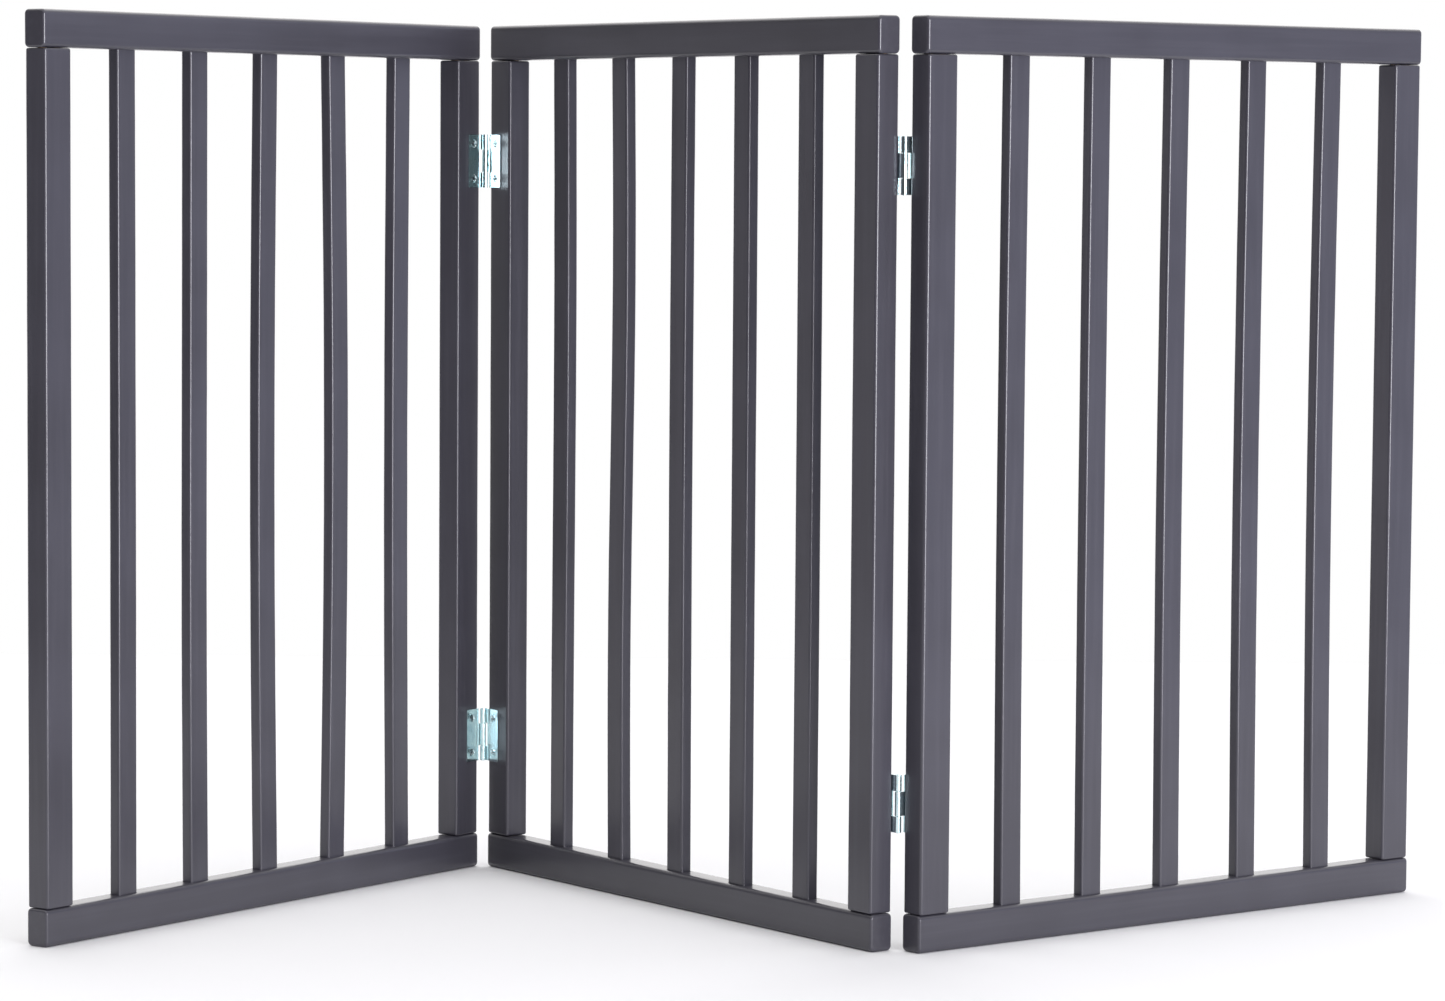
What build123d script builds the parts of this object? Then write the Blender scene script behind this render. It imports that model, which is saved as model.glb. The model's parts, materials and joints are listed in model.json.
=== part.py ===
"""Free-standing pet gate: three barred wooden panels joined by two folds of butt hinges.

The row frame has +X along the gate, -Y towards its front, +Z up. The origin is the middle of
the standing footprint, on the floor. Each panel is drawn in a plane of its own, whose origin is
the panel's front left bottom corner, x runs along the panel and y runs through its thickness.
"""

from build123d import *
import os

os.makedirs("parts", exist_ok=True)

# ---- Driving dimensions, mm and degrees -------------------------------------------------

# Panels
gate_height = 610.0
panel_width = 454.0
stock_thickness = 18.0
rail_height = 25.0
post_width = 25.0
post_setback = 1.0
rail_edge_radius = 3.2
rail_end_radius = 2.0
post_edge_radius = 2.0
post_end_radius = 1.5

# Slats
slat_count = 5
slat_pitch = 71.8
slat_width = 18.0
slat_thickness = 9.0
slat_edge_radius = 1.8
slat_tenon_length = 8.0
mortise_side_clearance = 0.1
mortise_end_clearance = 0.3

# Dowels between posts and rails
dowel_diameter = 6.0
dowel_length = 30.0
dowel_spacing = 11.0
dowel_chamfer = 0.8
dowel_side_clearance = 0.05
dowel_end_clearance = 0.5

# Standing pose: the turn of each panel about +Z
left_turn = 54.7
middle_turn = -53.7
right_turn = 37.9
fold_gap = 4.0

# Hinges
hinge_height = 38.0
hinge_end_distance = 78.0
leaf_thickness = 1.0
leaf_reach = 17.0
leaf_corner_radius = 0.8
leaf_notch_clearance = 1.4
end_knuckle_length = 10.7
knuckle_gap = 0.3
pin_radius = 1.2
pin_clearance = 0.05
pin_stand_out = 0.5
pin_chamfer = 0.3

# Hinge screws
screw_reach = 11.4
screw_spacing = 25.0
screw_length = 12.0
screw_head_radius = 2.9
screw_shank_radius = 1.4
screw_tip_length = 3.0
screw_hole_clearance = 0.1
pilot_clearance = 0.05
recess_width = 0.8
recess_length = 3.4
recess_depth = 1.0

# ---- Sizes worked out from the driving dimensions ---------------------------------------

post_height = gate_height - 2 * rail_height
top_rail_bottom = gate_height - rail_height
post_centres = [
    post_setback + post_width / 2,
    panel_width - post_setback - post_width / 2,
]
slat_centres = [
    panel_width / 2 + slat_pitch * (index - (slat_count - 1) / 2)
    for index in range(slat_count)
]
middle_depth = stock_thickness / 2
slat_height = post_height + 2 * slat_tenon_length
mortise_depth = slat_tenon_length + mortise_end_clearance
dowel_hole_radius = dowel_diameter / 2 + dowel_side_clearance
dowel_hole_depth = dowel_length / 2 + dowel_end_clearance

knuckle_bore_radius = pin_radius + pin_clearance
barrel_radius = knuckle_bore_radius + leaf_thickness
leaf_notch = barrel_radius + leaf_notch_clearance
middle_knuckle_length = hinge_height - 2 * (end_knuckle_length + knuckle_gap)
hinge_levels = {
    "upper": gate_height - hinge_end_distance - hinge_height / 2,
    "lower": hinge_end_distance + hinge_height / 2,
}
leaf_face_offset = barrel_radius - leaf_thickness


# ---- Where the panels stand -------------------------------------------------------------


def turned_plane(turn, origin=(0, 0, 0)):
    """Upright panel plane, turned about +Z."""
    along = Vector(1, 0, 0).rotate(Axis.Z, turn)
    return Plane(origin=origin, x_dir=along, z_dir=(0, 0, 1))


def plane_through(turn, local_point, world_point):
    """Panel plane with local_point, in the panel's own x and y, standing on world_point."""
    reach = turned_plane(turn).from_local_coords(local_point)
    return turned_plane(turn, world_point - reach)


left_end_front = Vector(-fold_gap / 2, -barrel_radius, 0)
right_end_front = Vector(panel_width + fold_gap / 2, -barrel_radius, 0)
left_end_back = Vector(-fold_gap / 2, stock_thickness + barrel_radius, 0)
right_end_back = Vector(panel_width + fold_gap / 2, stock_thickness + barrel_radius, 0)


def stand_panels(start):
    """The three panel planes, chained through the two fold axes from the middle panel."""
    middle = turned_plane(middle_turn, start)
    left = plane_through(left_turn, right_end_front, middle.from_local_coords(left_end_front))
    right = plane_through(right_turn, left_end_back, middle.from_local_coords(right_end_back))
    return {"left": left, "middle": middle, "right": right}


def footprint_middle(planes):
    """Middle of the box round the panels' footprints, whose corners are rounded."""
    corners = [
        plane.from_local_coords((x, y, 0))
        for plane in planes.values()
        for x in (rail_end_radius, panel_width - rail_end_radius)
        for y in (rail_end_radius, stock_thickness - rail_end_radius)
    ]
    across = [corner.X for corner in corners]
    along = [corner.Y for corner in corners]
    return Vector((min(across) + max(across)) / 2, (min(along) + max(along)) / 2, 0)


panels = stand_panels(footprint_middle(stand_panels(Vector(0, 0, 0))) * -1)


# ---- Saving -----------------------------------------------------------------------------


def save(piece, name):
    """Label a finished piece and write it as its own STEP file."""
    piece.label = name
    export_step(piece, f"parts/{name}.step")


# ---- Woodwork ---------------------------------------------------------------------------


def dowel_points():
    """Middle of each dowel in a panel's plan, two to each post."""
    return [
        (centre + side * dowel_spacing / 2, middle_depth)
        for centre in post_centres
        for side in (-1, 1)
    ]


def make_rail(plane, name, bottom, joint_face, into_rail):
    """Rail with rounded long edges and softened ends, and with blind dowel holes and slat
    mortises sunk from joint_face.
    """
    along = Axis(plane.origin, plane.x_dir)
    with BuildPart() as rail:
        with BuildSketch(plane.offset(bottom)):
            with Locations((panel_width / 2, middle_depth)):
                Rectangle(panel_width, stock_thickness)
        extrude(amount=rail_height)
        fillet(rail.edges().filter_by(along), radius=rail_edge_radius)
        fillet(rail.faces().filter_by(along).edges(), radius=rail_end_radius)
        with BuildSketch(plane.offset(joint_face)):
            with Locations(*dowel_points()):
                Circle(dowel_hole_radius)
        extrude(amount=into_rail * dowel_hole_depth, mode=Mode.SUBTRACT)
        with BuildSketch(plane.offset(joint_face)):
            with Locations(*[(centre, middle_depth) for centre in slat_centres]):
                RectangleRounded(
                    slat_width + 2 * mortise_side_clearance,
                    slat_thickness + 2 * mortise_side_clearance,
                    slat_edge_radius + mortise_side_clearance,
                )
        extrude(amount=into_rail * mortise_depth, mode=Mode.SUBTRACT)
    save(rail.part, name)


def make_post(plane, name, centre, pilot_planes):
    """Rounded post between the rails, with dowel holes in its ends and hinge pilot holes."""
    with BuildPart() as post:
        with BuildSketch(plane.offset(rail_height)):
            with Locations((centre, middle_depth)):
                RectangleRounded(post_width, stock_thickness, post_edge_radius)
        extrude(amount=post_height)
        ends = post.edges().group_by(Axis.Z)
        fillet(ends[0] + ends[-1], radius=post_end_radius)
        for end, into_post in ((rail_height, 1), (top_rail_bottom, -1)):
            with BuildSketch(plane.offset(end)):
                with Locations((centre, middle_depth)):
                    with GridLocations(dowel_spacing, 1, 2, 1):
                        Circle(dowel_hole_radius)
            extrude(amount=into_post * dowel_hole_depth, mode=Mode.SUBTRACT)
        for pilot_plane in pilot_planes:
            with Locations(pilot_plane):
                with Locations((0, screw_spacing / 2), (0, -screw_spacing / 2)):
                    CounterSinkHole(
                        radius=screw_shank_radius + pilot_clearance,
                        counter_sink_radius=screw_head_radius - leaf_thickness + pilot_clearance,
                        depth=screw_length,
                        counter_sink_angle=90,
                    )
    save(post.part, name)


def make_slat(plane, name, centre):
    """Thin rounded slat, housed in both rails."""
    with BuildPart() as slat:
        with BuildSketch(plane.offset(rail_height - slat_tenon_length)):
            with Locations((centre, middle_depth)):
                RectangleRounded(slat_width, slat_thickness, slat_edge_radius)
        extrude(amount=slat_height)
    save(slat.part, name)


def make_dowels(plane, name):
    """All the dowels of one panel, half in a post and half in a rail."""
    with BuildPart() as dowels:
        for joint in (rail_height, top_rail_bottom):
            with BuildSketch(plane.offset(joint - dowel_length / 2)):
                with Locations(*dowel_points()):
                    Circle(dowel_diameter / 2)
            extrude(amount=dowel_length)
        chamfer(dowels.edges().filter_by(GeomType.CIRCLE), length=dowel_chamfer)
    save(dowels.part, name)


# ---- Hinges -----------------------------------------------------------------------------


def leaf_plane(panel, axis_point, side, face, level):
    """Plane of one leaf: origin on the hinge axis at mid height, x towards the leaf's free
    edge, y into the wood, so that its z runs along the pin.

    side is 1 for a leaf on the panel's left end and -1 for its right end; face is 1 for the
    front face and -1 for the back.
    """
    plane = panels[panel]
    origin = plane.from_local_coords(axis_point) + Vector(0, 0, hinge_levels[level])
    return Plane(origin=origin, x_dir=plane.x_dir * side, z_dir=(0, 0, side * face))


def screw_plane(leaf):
    """Plane on the leaf's outer face between its two screws, facing out of the wood."""
    middle = leaf.from_local_coords((screw_reach, leaf_face_offset, 0))
    return Plane(origin=middle, x_dir=leaf.x_dir, z_dir=leaf.y_dir * -1)


def pilot_plane_of(leaf):
    """Plane on the post's face between the two screws, facing out of the wood."""
    return screw_plane(leaf).offset(-leaf_thickness)


def knuckle_spans(kind):
    """Start and length along the pin of each knuckle that a leaf carries."""
    if kind == "outer":
        far_start = hinge_height / 2 - end_knuckle_length
        return [(-hinge_height / 2, end_knuckle_length), (far_start, end_knuckle_length)]
    return [(-middle_knuckle_length / 2, middle_knuckle_length)]


def make_leaf(leaf, name, kind):
    """Stamped leaf: a plate with rounded corners, rolled knuckles and countersunk holes."""
    with BuildPart() as plate:
        with BuildSketch(leaf.offset(-hinge_height / 2)):
            with Locations(((leaf_notch + leaf_reach) / 2, barrel_radius - leaf_thickness / 2)):
                Rectangle(leaf_reach - leaf_notch, leaf_thickness)
        extrude(amount=hinge_height)
        corners = plate.edges().filter_by(Axis(leaf.origin, leaf.y_dir))
        free_corners = corners.sort_by(Axis(leaf.origin, leaf.x_dir))[-2:]
        fillet(free_corners, radius=leaf_corner_radius)
        for start, length in knuckle_spans(kind):
            with BuildSketch(leaf.offset(start)):
                Circle(barrel_radius)
                with Locations((leaf_notch / 2, barrel_radius - leaf_thickness / 2)):
                    Rectangle(leaf_notch, leaf_thickness)
                Circle(knuckle_bore_radius, mode=Mode.SUBTRACT)
            extrude(amount=length)
        with Locations(screw_plane(leaf)):
            with Locations((0, screw_spacing / 2), (0, -screw_spacing / 2)):
                CounterSinkHole(
                    radius=screw_shank_radius + screw_hole_clearance,
                    counter_sink_radius=screw_head_radius + screw_hole_clearance,
                    depth=2 * leaf_thickness,
                    counter_sink_angle=90,
                )
    save(plate.part, name)


def make_screws(leaf, name):
    """The two countersunk wood screws of one leaf, with crossed recesses."""
    head = screw_plane(leaf)
    head_depth = screw_head_radius - screw_shank_radius
    with BuildPart() as screws:
        for height in (screw_spacing / 2, -screw_spacing / 2):
            foot = head.from_local_coords((0, height, 0))
            section = Plane(origin=foot, x_dir=head.x_dir, z_dir=head.y_dir * -1)
            with BuildSketch(section):
                with BuildLine():
                    Polyline(
                        (0, 0),
                        (screw_head_radius, 0),
                        (screw_shank_radius, -head_depth),
                        (screw_shank_radius, screw_tip_length - screw_length),
                        (0, -screw_length),
                        close=True,
                    )
                make_face()
            revolve(axis=Axis(foot, head.z_dir))
            with BuildSketch(head):
                with Locations((0, height)):
                    Rectangle(recess_width, recess_length)
                    Rectangle(recess_length, recess_width)
            extrude(amount=-recess_depth, mode=Mode.SUBTRACT)
    save(screws.part, name)


def make_pin(leaf, name):
    """Hinge pin through the three knuckles."""
    pin_length = hinge_height + 2 * pin_stand_out
    with BuildPart() as pin:
        with BuildSketch(leaf.offset(-pin_length / 2)):
            Circle(pin_radius)
        extrude(amount=pin_length)
        chamfer(pin.edges().filter_by(GeomType.CIRCLE), length=pin_chamfer)
    save(pin.part, name)


# Each fold: the panel and axis on either side of it, the face that carries the hinges, and
# which panel's leaf has the outer knuckles at each level
folds = {
    "left_fold": {
        "leaves": {"left": (right_end_front, -1), "middle": (left_end_front, 1)},
        "face": 1,
        "outer": {"upper": "left", "lower": "middle"},
    },
    "right_fold": {
        "leaves": {"middle": (right_end_back, -1), "right": (left_end_back, 1)},
        "face": -1,
        "outer": {"upper": "right", "lower": "middle"},
    },
}

# Pilot holes that the hinges ask of each post, keyed by panel and by its end
pilots = {(panel, side): [] for panel in panels for side in (1, -1)}

for fold_name, fold in folds.items():
    for level in hinge_levels:
        for panel, (axis_point, side) in fold["leaves"].items():
            leaf = leaf_plane(panel, axis_point, side, fold["face"], level)
            kind = "outer" if fold["outer"][level] == panel else "inner"
            make_leaf(leaf, f"{fold_name}_{level}_leaf_on_{panel}", kind)
            make_screws(leaf, f"{fold_name}_{level}_screws_on_{panel}")
            pilots[panel, side].append(pilot_plane_of(leaf))
        make_pin(leaf, f"{fold_name}_{level}_pin")

# ---- Panels -----------------------------------------------------------------------------

for panel, plane in panels.items():
    make_rail(plane, f"{panel}_top_rail", top_rail_bottom, top_rail_bottom, 1)
    make_rail(plane, f"{panel}_bottom_rail", 0, rail_height, -1)
    make_post(plane, f"{panel}_left_post", post_centres[0], pilots[panel, 1])
    make_post(plane, f"{panel}_right_post", post_centres[1], pilots[panel, -1])
    make_dowels(plane, f"{panel}_dowels")
    for number, centre in enumerate(slat_centres, start=1):
        make_slat(plane, f"{panel}_slat_{number}", centre)
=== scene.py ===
"""Looks of the free-standing pet gate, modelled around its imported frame.

Every length is in metres. Each panel is worked on lying in its own axes, x along the panel from
its left end, y through its thickness from the front face and z up, and is then stood in the row
frame. Each hinge leaf is worked on in the axes of its leaf: x from the pin towards the leaf's
free edge, y into the wood and z along the pin.
"""

import json
import logging
import math
from dataclasses import dataclass, field
from enum import Enum
from typing import Callable, Iterable, Sequence

import bmesh
import bpy
from mathutils import Matrix, Vector


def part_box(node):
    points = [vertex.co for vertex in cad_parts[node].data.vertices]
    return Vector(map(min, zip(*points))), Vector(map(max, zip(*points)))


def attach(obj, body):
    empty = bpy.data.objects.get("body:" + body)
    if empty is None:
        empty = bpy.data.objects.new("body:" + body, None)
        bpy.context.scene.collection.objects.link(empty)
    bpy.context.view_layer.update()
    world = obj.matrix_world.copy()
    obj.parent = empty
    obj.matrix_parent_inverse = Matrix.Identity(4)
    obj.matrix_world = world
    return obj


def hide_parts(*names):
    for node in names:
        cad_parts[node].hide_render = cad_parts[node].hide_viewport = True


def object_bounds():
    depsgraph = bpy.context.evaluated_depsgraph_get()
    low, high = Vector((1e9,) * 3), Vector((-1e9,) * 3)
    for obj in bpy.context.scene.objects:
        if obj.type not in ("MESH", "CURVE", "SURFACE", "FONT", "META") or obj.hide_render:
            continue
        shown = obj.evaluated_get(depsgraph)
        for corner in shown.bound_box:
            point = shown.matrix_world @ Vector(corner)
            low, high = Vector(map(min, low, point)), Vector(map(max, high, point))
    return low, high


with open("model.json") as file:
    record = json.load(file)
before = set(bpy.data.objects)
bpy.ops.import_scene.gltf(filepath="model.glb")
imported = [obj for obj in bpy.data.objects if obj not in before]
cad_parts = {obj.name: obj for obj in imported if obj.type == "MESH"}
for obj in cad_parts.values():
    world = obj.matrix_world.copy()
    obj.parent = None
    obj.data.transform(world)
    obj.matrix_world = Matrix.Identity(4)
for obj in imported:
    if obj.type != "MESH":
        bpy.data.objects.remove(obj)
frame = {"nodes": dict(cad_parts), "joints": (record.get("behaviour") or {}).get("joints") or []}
CAD_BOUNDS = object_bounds()

MM = 0.001
GRAIN = "grain"
GRAIN_STEP = (0.37, 0.61, 1.3)
SCREW_TURNS = (37, 61, 23)
WOOD_SMOOTHING = 35.0
HINGE_SMOOTHING = 40.0
SHARP_EDGE = 50.0
FLAT_FACE_WEIGHT = 50
FACING = 0.9
SEED_SIZE = 0.1 * MM
NOISE_ROUGHNESS = 0.55
MIX_SHARE, MIX_FIRST, MIX_SECOND, MIX_RESULT = 0, 6, 7, 2
log = logging.getLogger("pet_gate")


# ---- Named choices ----------------------------------------------------------------------


class Fold(Enum):
    """The two rows of hinges."""

    LEFT = "left_fold"
    RIGHT = "right_fold"


class Level(Enum):
    """The height at which a hinge sits."""

    UPPER = "upper"
    LOWER = "lower"


class Face(Enum):
    """The panel face that carries a hinge; the value turns y into the wood."""

    FRONT = 1
    BACK = -1


class End(Enum):
    """The panel end that carries a hinge; the value turns x away from the pin."""

    LEFT = 1
    RIGHT = -1


class Knuckles(Enum):
    """The knuckles that a leaf carries."""

    OUTER = "outer"
    INNER = "inner"


class GrainRun(Enum):
    """The axis of a piece's own that its grain follows."""

    ALONG_X = 0
    ALONG_Z = 2


# ---- Sizes ------------------------------------------------------------------------------


@dataclass(frozen=True)
class Timber:
    """Sizes of the woodwork."""

    panel_width: float = 454 * MM
    thickness: float = 18 * MM
    rail_height: float = 25 * MM
    post_width: float = 25 * MM
    post_setback: float = 1.0 * MM
    rail_edge_round: float = 3.2 * MM
    rail_end_round: float = 2.0 * MM
    post_edge_round: float = 2.0 * MM
    post_end_round: float = 1.5 * MM
    slat_count: int = 5
    slat_pitch: float = 71.8 * MM
    slat_width: float = 18 * MM
    slat_thickness: float = 9 * MM
    slat_round: float = 1.8 * MM
    tenon: float = 8 * MM
    mortise_play: float = 0.1 * MM
    dowel_radius: float = 3 * MM
    dowel_reach: float = 15.5 * MM
    dowel_spacing: float = 11 * MM

    @property
    def gate_height(self) -> float:
        """Height of the gate, from the frame."""
        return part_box("left_top_rail")[1].z

    @property
    def post_height(self) -> float:
        """Length of a post, between the rails."""
        return self.gate_height - 2 * self.rail_height

    @property
    def post_centres(self) -> tuple[float, float]:
        """Middle of each post along the panel."""
        first = self.post_setback + self.post_width / 2
        return first, self.panel_width - first

    @property
    def slat_centres(self) -> list[float]:
        """Middle of each slat along the panel."""
        first = self.panel_width / 2 - self.slat_pitch * (self.slat_count - 1) / 2
        return [first + self.slat_pitch * index for index in range(self.slat_count)]


@dataclass(frozen=True)
class Ironmongery:
    """Sizes of the hinges, their pins and their screws."""

    fold_gap: float = 4 * MM
    height: float = 38 * MM
    leaf_thickness: float = 1.0 * MM
    leaf_reach: float = 17 * MM
    corner_round: float = 0.8 * MM
    notch: float = 3.65 * MM
    end_knuckle: float = 10.7 * MM
    knuckle_gap: float = 0.3 * MM
    pin_radius: float = 1.2 * MM
    bore_radius: float = 1.25 * MM
    roll_angle: float = 288.0
    screw_reach: float = 11.4 * MM
    screw_spacing: float = 25 * MM
    screw_length: float = 12 * MM
    head_radius: float = 2.9 * MM
    shank_radius: float = 1.4 * MM

    @property
    def barrel_radius(self) -> float:
        """Outer radius of a rolled knuckle, which touches the panel's face."""
        return self.bore_radius + self.leaf_thickness


TIMBER = Timber()
IRON = Ironmongery()


@dataclass(frozen=True)
class Bow:
    """How far a slat has moved along its panel since it was planed.

    middle is the shift at mid height, and wave is the shift at a quarter of the height, which
    changes sign above the middle.
    """

    middle: float
    wave: float = 0.0

    def shift(self, share: float) -> float:
        """Shift along the panel at a share of the height, from 0 at the slat's foot to 1 at its head."""
        return self.middle * math.sin(math.pi * share) + self.wave * math.sin(2 * math.pi * share)


BOWS = {
    "left": (Bow(0.3 * MM), Bow(-0.9 * MM, -0.3 * MM), Bow(-2.8 * MM), Bow(3.9 * MM), Bow(-1.9 * MM)),
    "middle": (
        Bow(1.3 * MM, -0.5 * MM),
        Bow(0.5 * MM, -1.8 * MM),
        Bow(-0.7 * MM),
        Bow(0.2 * MM),
        Bow(0.4 * MM),
    ),
    "right": (Bow(-1.1 * MM), Bow(-0.6 * MM), Bow(-1.5 * MM), Bow(-1.6 * MM), Bow(-2.4 * MM)),
}


# ---- The bench: modelling by hand -------------------------------------------------------


def choose(*pieces: bpy.types.Object) -> None:
    """Select only these objects, with the first one active.

    Args:
        pieces: The objects.
    """
    bpy.ops.object.select_all(action="DESELECT")
    for piece in pieces:
        piece.select_set(True)
    bpy.context.view_layer.objects.active = pieces[0]


class Bench:
    """Edit mode on one piece, with picking by place and by normal."""

    def __init__(self, piece: bpy.types.Object) -> None:
        """Put a mesh object on the bench."""
        self.piece = piece

    def __enter__(self) -> "Bench":
        """Open edit mode on the piece alone.

        Returns:
            The bench.
        """
        choose(self.piece)
        bpy.ops.object.mode_set(mode="EDIT")
        return self

    def __exit__(self, *problem: object) -> None:
        """Close edit mode."""
        bpy.ops.object.mode_set(mode="OBJECT")

    def _start(self, mode: str) -> bmesh.types.BMesh:
        """Clear the selection.

        Args:
            mode: The selection mode to pick in.

        Returns:
            The mesh being edited.
        """
        bpy.ops.mesh.select_mode(type=mode)
        bpy.ops.mesh.select_all(action="DESELECT")
        return bmesh.from_edit_mesh(self.piece.data)

    def _done(self, shape: bmesh.types.BMesh) -> None:
        """Settle the selection."""
        shape.select_flush_mode()
        bmesh.update_edit_mesh(self.piece.data)

    def pick_points(self, wanted: Callable[[Vector], bool]) -> None:
        """Select the vertices whose place passes a test.

        Args:
            wanted: Test of a place.
        """
        shape = self._start("VERT")
        for point in shape.verts:
            point.select_set(wanted(point.co))
        self._done(shape)

    def pick_edges(self, wanted: Callable[[Vector, Vector], bool]) -> None:
        """Select the edges whose two ends pass a test.

        Args:
            wanted: Test of an edge's two ends.
        """
        shape = self._start("EDGE")
        for edge in shape.edges:
            edge.select_set(wanted(edge.verts[0].co, edge.verts[1].co))
        self._done(shape)

    def pick_faces(self, wanted: Callable[[Vector, Vector], bool]) -> None:
        """Select the faces whose middle and normal pass a test.

        Args:
            wanted: Test of a face's middle and its normal.
        """
        shape = self._start("FACE")
        for face in shape.faces:
            face.select_set(wanted(face.calc_center_median(), face.normal))
        self._done(shape)

    def cut(self, point: Vector, normal: Vector) -> None:
        """Cut a line of edges right through the piece, across a plane."""
        bpy.ops.mesh.select_all(action="SELECT")
        bpy.ops.mesh.bisect(plane_co=point, plane_no=normal)

    def round_edges(self, wanted: Callable[[Vector, Vector], bool], radius: float, steps: int) -> None:
        """Round the edges whose two ends pass a test, in a number of facets."""
        self.pick_edges(wanted)
        bpy.ops.mesh.bevel(offset=radius, segments=steps, affect="EDGES")

    def weld(self, reach: float) -> None:
        """Merge the points that belong together, and turn the faces outwards.

        Args:
            reach: Largest distance between points that are merged.
        """
        bpy.ops.mesh.select_all(action="SELECT")
        bpy.ops.mesh.remove_doubles(threshold=reach)
        bpy.ops.mesh.normals_make_consistent(inside=False)


def settle(name: str, size: Sequence[float] = (1, 1, 1)) -> bpy.types.Object:
    """Name the object that was just added, and move its place and size into its mesh.

    Args:
        name: Its name.
        size: Its scale.

    Returns:
        The object, selected and active.
    """
    piece = bpy.context.object
    piece.name = piece.data.name = name
    piece.scale = size
    bpy.ops.object.transform_apply(location=True, rotation=True, scale=True)
    return piece


def start_block(name: str, low: Vector, high: Vector) -> bpy.types.Object:
    """Add a block to shape, with its place in its mesh.

    Args:
        name: Name of the block.
        low: Its lowest corner.
        high: Its highest corner.

    Returns:
        The block, selected and active.
    """
    bpy.ops.object.select_all(action="DESELECT")
    bpy.ops.mesh.primitive_cube_add(size=1, location=(low + high) / 2)
    return settle(name, high - low)


def start_rod(name: str, foot: Vector, along: Vector, radius: float, sides: int) -> bpy.types.Object:
    """Add a plain rod to cut or shape with, with its place in its mesh.

    Args:
        name: Name of the rod.
        foot: Middle of one end.
        along: From that end to the other.
        radius: Radius of the rod.
        sides: Number of its sides.

    Returns:
        The rod.
    """
    bpy.ops.object.select_all(action="DESELECT")
    bpy.ops.mesh.primitive_cylinder_add(
        vertices=sides,
        radius=radius,
        depth=along.length,
        location=foot + along / 2,
        rotation=Vector((0, 0, 1)).rotation_difference(along).to_euler(),
    )
    return settle(name)


def join(pieces: Sequence[bpy.types.Object]) -> bpy.types.Object:
    """Join pieces into the first of them.

    Args:
        pieces: The pieces.

    Returns:
        The first piece, which now holds them all.
    """
    choose(*pieces)
    if len(pieces) > 1:
        bpy.ops.object.join()
    return pieces[0]


def copy_of(pattern: bpy.types.Object, name: str) -> bpy.types.Object:
    """Copy a pattern piece, with a mesh of its own.

    Args:
        pattern: The piece that is modelled once.
        name: Name of the copy.

    Returns:
        The copy.
    """
    made = bpy.data.objects.new(name, pattern.data.copy())
    made.data.name = name
    bpy.context.scene.collection.objects.link(made)
    return made


def scrap(*pieces: bpy.types.Object) -> None:
    """Throw away patterns and cutters that have done their work.

    Args:
        pieces: The patterns and cutters.
    """
    for piece in pieces:
        mesh = piece.data
        bpy.data.objects.remove(piece)
        bpy.data.meshes.remove(mesh)


def finish_modifier(piece: bpy.types.Object, kind: str, **settings: object) -> None:
    """Add a modifier to a piece, set it and apply it.

    Args:
        piece: The piece.
        kind: Blender's name for the kind of modifier.
        settings: Its settings.
    """
    modifier = piece.modifiers.new(kind.lower(), kind)
    for setting, value in settings.items():
        setattr(modifier, setting, value)
    choose(piece)
    bpy.ops.object.modifier_apply(modifier=modifier.name)


def cut_away(piece: bpy.types.Object, cutter: bpy.types.Object) -> None:
    """Cut the shape of a cutter out of a piece and scrap the cutter."""
    finish_modifier(piece, "BOOLEAN", object=cutter, operation="DIFFERENCE", solver="EXACT")
    scrap(cutter)


def ease_edges(piece: bpy.types.Object, width: float, steps: int) -> None:
    """Take a width off all of a piece's sharp edges, in a number of facets."""
    limit = math.radians(SHARP_EDGE)
    finish_modifier(piece, "BEVEL", width=width, segments=steps, limit_method="ANGLE", angle_limit=limit)


def smooth(piece: bpy.types.Object, sharpest: float = WOOD_SMOOTHING) -> None:
    """Smooth the shading up to an angle, and let the large faces stay flat.

    Args:
        piece: The piece.
        sharpest: Largest angle that is smoothed over, in degrees.
    """
    choose(piece)
    bpy.ops.object.shade_smooth_by_angle(angle=math.radians(sharpest))
    finish_modifier(piece, "WEIGHTED_NORMAL", keep_sharp=True, weight=FLAT_FACE_WEIGHT)


def place(piece: bpy.types.Object, matrix: Matrix) -> None:
    """Move a piece, and keep its new place in its mesh.

    Args:
        piece: The piece.
        matrix: From where it lies to where it goes.
    """
    piece.matrix_world = matrix
    choose(piece)
    bpy.ops.object.transform_apply(location=True, rotation=True, scale=True)


def half_turn(axis: str, move: Sequence[float]) -> Matrix:
    """Half a turn about an axis, and then a move."""
    return Matrix.Translation(move) @ Matrix.Rotation(math.pi, 4, axis)


def mark_grain(piece: bpy.types.Object, run: GrainRun, number: int) -> None:
    """Store each point's place in the piece's own axes, with the grain along the third one.

    Args:
        piece: The piece, still in its own axes.
        run: The axis that the grain follows.
        number: Number of the piece, which gives it a stretch of timber of its own.
    """
    layer = piece.data.attributes.new(GRAIN, "FLOAT_VECTOR", "POINT")
    start = Vector([number * step for step in GRAIN_STEP])
    for point, stored in zip(piece.data.vertices, layer.data):
        across = point.co.z if run is GrainRun.ALONG_X else point.co.x
        along = point.co.x if run is GrainRun.ALONG_X else point.co.z
        stored.vector = start + Vector((across, point.co.y, along))


# ---- Finishes ---------------------------------------------------------------------------


@dataclass(frozen=True)
class Relief:
    """How strongly and how deeply a pattern is raised off a surface."""

    strength: float
    depth: float


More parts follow.
